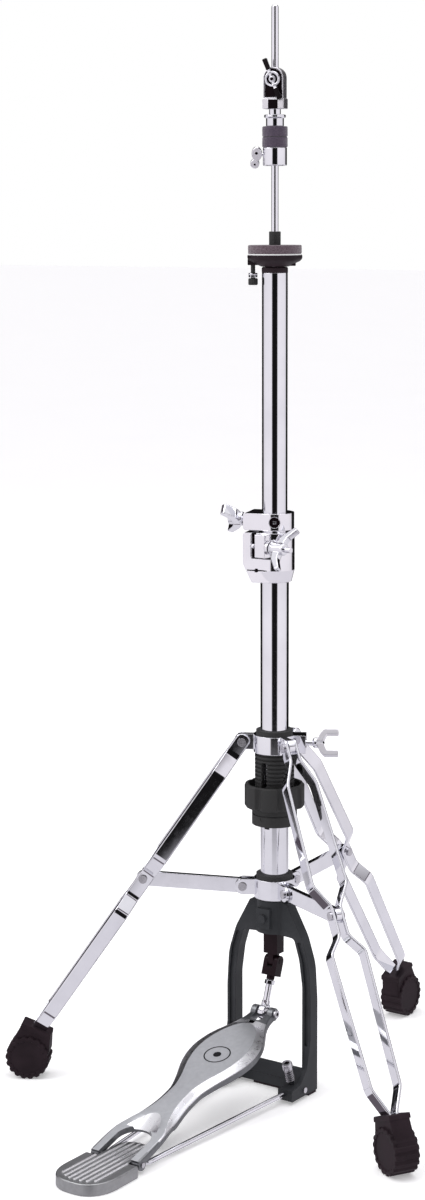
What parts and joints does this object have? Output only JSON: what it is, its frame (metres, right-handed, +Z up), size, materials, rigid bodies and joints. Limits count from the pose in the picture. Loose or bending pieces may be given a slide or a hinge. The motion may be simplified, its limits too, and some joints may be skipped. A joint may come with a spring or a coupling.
{
  "type": "hi-hat cymbal stand",
  "caption": "Double-braced folding tripod hi-hat stand with a cast footboard pedal, sliding tube, tilting cymbal seat and pull-rod clutch; no cymbals.",
  "frame": {"origin": "on the stand's axis at floor level, on the middle base pad's underside", "axes": "+Z up the tube; -Y toward the player along the pedal; +X to the player's right"},
  "size_m": [0.4988, 0.6215, 1.09],
  "materials": {
    "chrome": "mirror chrome plate",
    "steel": "bright steel",
    "spring_steel": "drawn spring wire",
    "rubber": "matt rubber",
    "black_plastic": "satin moulded plastic",
    "black_nylon": "satin nylon",
    "black_link": "satin black coating",
    "frame_paint": "charcoal powder coat",
    "cast_aluminium": "satin cast aluminium with polished edges",
    "heel_aluminium": "satin cast aluminium with bright ribs",
    "seat_felt": "pressed wool felt",
    "clutch_felt": "pressed wool felt",
    "pale_washer": "pale washer"
  },
  "bodies": {
    "chassis": {"pedal_frame": "frame_paint", "base_pads": "rubber", "lower_tube": "chrome", "threaded_sleeve": "black_plastic", "radius_rods": "chrome", "heel_plate": "heel_aluminium", "pedal_pins": "steel", "hub_bolt": "steel", "height_clamp": "chrome", "clamp_eye_bolt": "chrome", "spur_springs": "spring_steel"},
    "leg_base": {"lower_collar": "chrome", "lower_nylon_ring": "black_nylon", "brace_rivets": "steel"},
    "upper_collar": {"upper_collar": "chrome", "upper_nylon_ring": "black_nylon"},
    "collar_wing_bolt": {"collar_wing_bolt": "chrome"},
    "footboard": {"footboard": "cast_aluminium", "clevis_pin": "steel"},
    "pull_rod": {"upper_rod": "chrome", "lower_rod": "chrome", "rod_coupler": "steel", "rod_end": "black_link"},
    "drive_link": {"link_fork": "black_link", "link_eye_rod": "chrome"},
    "spring_carrier": {"carrier_ring": "black_plastic", "spring_seat": "steel", "pedal_spring": "spring_steel"},
    "tension_knob": {"tension_knob": "black_plastic"},
    "memory_lock": {"memory_lock": "chrome"},
    "lock_wing_screw": {"lock_wing_screw": "chrome"},
    "upper_tube": {"upper_tube": "chrome", "tube_cap": "black_plastic"},
    "clamp_wing_nut": {"clamp_wing_nut": "chrome"},
    "seat_cup": {"seat_cup": "black_plastic", "seat_washer": "pale_washer", "seat_felt": "seat_felt", "seat_sleeve": "black_plastic"},
    "tilt_screw": {"tilt_screw": "black_plastic"},
    "clutch": {"clutch_body": "chrome", "clutch_tube": "chrome", "clutch_upper_nut": "chrome", "clutch_felts": "clutch_felt"},
    "clutch_wing_screw": {"clutch_wing_screw": "chrome"},
    "bottom_nut": {"clutch_bottom_nut": "chrome"},
    "nut_lock_screw": {"nut_lock_screw": "chrome"},
    "left_spur": {"left_spur": "steel"},
    "right_spur": {"right_spur": "steel"},
    "left_leg": {"left_leg_rails": "chrome", "left_leg_rivets": "steel", "left_foot": "rubber"},
    "left_brace": {"left_brace": "chrome"},
    "right_leg": {"right_leg_rails": "chrome", "right_leg_rivets": "steel", "right_foot": "rubber"},
    "right_brace": {"right_brace": "chrome"},
    "rear_leg": {"rear_leg_rails": "chrome", "rear_leg_rivets": "steel", "rear_foot": "rubber"},
    "rear_brace": {"rear_brace": "chrome"}
  },
  "joints": [
    {"name": "leg_swivel", "type": "hinge", "parent": "chassis", "child": "leg_base", "pos_m": [0, 0, 0.2115], "axis": [0, 0, 1], "range_deg": [-30, 30]},
    {"name": "leg_fold", "type": "slide", "parent": "leg_base", "child": "upper_collar", "axis": [0, 0, 1], "range_m": [0, 0.125]},
    {"name": "left_leg_hinge", "type": "hinge", "parent": "upper_collar", "child": "left_leg", "pos_m": [-0.02858, -0.0165, 0.363], "axis": [0.5, -0.866, 0], "range_deg": [0, 27.43]},
    {"name": "left_brace_hinge", "type": "hinge", "parent": "leg_base", "child": "left_brace", "pos_m": [-0.02806, -0.0162, 0.2115], "axis": [-0.5, 0.866, 0], "range_deg": [0, 73.49]},
    {"name": "right_leg_hinge", "type": "hinge", "parent": "upper_collar", "child": "right_leg", "pos_m": [0.02858, -0.0165, 0.363], "axis": [0.5, 0.866, 0], "range_deg": [0, 27.43]},
    {"name": "right_brace_hinge", "type": "hinge", "parent": "leg_base", "child": "right_brace", "pos_m": [0.02806, -0.0162, 0.2115], "axis": [-0.5, -0.866, 0], "range_deg": [0, 73.49]},
    {"name": "rear_leg_hinge", "type": "hinge", "parent": "upper_collar", "child": "rear_leg", "pos_m": [0, 0.033, 0.363], "axis": [-1, 0, 0], "range_deg": [0, 27.43]},
    {"name": "rear_brace_hinge", "type": "hinge", "parent": "leg_base", "child": "rear_brace", "pos_m": [0, 0.0324, 0.2115], "axis": [1, 0, 0], "range_deg": [0, 73.49]},
    {"name": "collar_wing_turn", "type": "hinge", "parent": "upper_collar", "child": "collar_wing_bolt", "pos_m": [0.03204, 0.0185, 0.362], "axis": [0.866, 0.5, 0], "range_deg": [0, 360]},
    {"name": "footboard_press", "type": "hinge", "parent": "chassis", "child": "footboard", "pos_m": [0, -0.26719, 0.00911], "axis": [-1, 0, 0], "range_deg": [0, 10], "stiffness_Nm_per_rad": 23, "springref_deg": -14.9},
    {"name": "rod_travel", "type": "slide", "parent": "chassis", "child": "pull_rod", "axis": [0, 0, -1], "range_m": [0, 0.04214], "deforming": ["pedal_spring"]},
    {"name": "link_swing", "type": "hinge", "parent": "pull_rod", "child": "drive_link", "pos_m": [0, -0.0014, 0.132], "axis": [1, 0, 0], "range_deg": [0, 9.95]},
    {"name": "spring_travel", "type": "slide", "parent": "chassis", "child": "spring_carrier", "axis": [0, 0, 1], "range_m": [0, 0.0252]},
    {"name": "knob_turn", "type": "hinge", "parent": "spring_carrier", "child": "tension_knob", "pos_m": [0, 0, 0.308], "axis": [0, 0, 1], "range_deg": [0, 2161]},
    {"name": "lock_lift", "type": "slide", "parent": "chassis", "child": "memory_lock", "axis": [0, 0, 1], "range_m": [0, 0.006]},
    {"name": "tube_height", "type": "slide", "parent": "memory_lock", "child": "upper_tube", "axis": [0, 0, 1], "range_m": [-0.17, 0.004]},
    {"name": "lock_wing_turn", "type": "hinge", "parent": "memory_lock", "child": "lock_wing_screw", "pos_m": [-0.03043, -0.00989, 0.5895], "axis": [-0.9511, -0.309, 0], "range_deg": [0, 360]},
    {"name": "clamp_wing_turn", "type": "hinge", "parent": "chassis", "child": "clamp_wing_nut", "pos_m": [0.01134, -0.02255, 0.5645], "axis": [0.9925, -0.1219, 0], "range_deg": [0, 360]},
    {"name": "seat_tilt", "type": "hinge", "parent": "upper_tube", "child": "seat_cup", "pos_m": [0.01082, 0.00625, 0.84], "axis": [-0.5, 0.866, 0], "range_deg": [0, 1.65]},
    {"name": "tilt_screw_turn", "type": "hinge", "parent": "seat_cup", "child": "tilt_screw", "pos_m": [-0.01862, -0.01075, 0.835], "axis": [0, 0, 1], "range_deg": [0, 541]},
    {"name": "clutch_slide", "type": "slide", "parent": "pull_rod", "child": "clutch", "axis": [0, 0, 1], "range_m": [-0.006, 0.04]},
    {"name": "clutch_wing_turn", "type": "hinge", "parent": "clutch", "child": "clutch_wing_screw", "pos_m": [0.00222, -0.00685, 1.0194], "axis": [0.309, -0.9511, 0], "range_deg": [0, 360]},
    {"name": "bottom_nut_turn", "type": "hinge", "parent": "clutch", "child": "bottom_nut", "pos_m": [0, 0, 0.946], "axis": [0, 0, 1], "range_deg": [0, 360]},
    {"name": "nut_wing_turn", "type": "hinge", "parent": "bottom_nut", "child": "nut_lock_screw", "pos_m": [-0.01013, -0.00585, 0.946], "axis": [-0.866, -0.5, 0], "range_deg": [0, 360]},
    {"name": "left_spur_travel", "type": "slide", "parent": "chassis", "child": "left_spur", "axis": [0, 0.3289, -0.9444], "range_m": [0, 0.006], "deforming": ["spur_springs"]},
    {"name": "right_spur_travel", "type": "slide", "parent": "chassis", "child": "right_spur", "axis": [0, 0.3289, -0.9444], "range_m": [0, 0.006], "deforming": ["spur_springs"]}
  ],
  "couplings": [
    {"joint": "left_leg_hinge", "follows": "leg_fold", "rad_per_m": 3.8289},
    {"joint": "left_brace_hinge", "follows": "leg_fold", "rad_per_m": 10.26},
    {"joint": "right_leg_hinge", "follows": "leg_fold", "rad_per_m": 3.8289},
    {"joint": "right_brace_hinge", "follows": "leg_fold", "rad_per_m": 10.26},
    {"joint": "rear_leg_hinge", "follows": "leg_fold", "rad_per_m": 3.8289},
    {"joint": "rear_brace_hinge", "follows": "leg_fold", "rad_per_m": 10.26},
    {"joint": "rod_travel", "follows": "footboard_press", "m_per_rad": 0.24027},
    {"joint": "link_swing", "follows": "footboard_press", "ratio": 0.99321},
    {"joint": "knob_turn", "follows": "spring_travel", "rad_per_m": 1496},
    {"joint": "tilt_screw_turn", "follows": "seat_tilt", "ratio": 327.27}
  ]
}
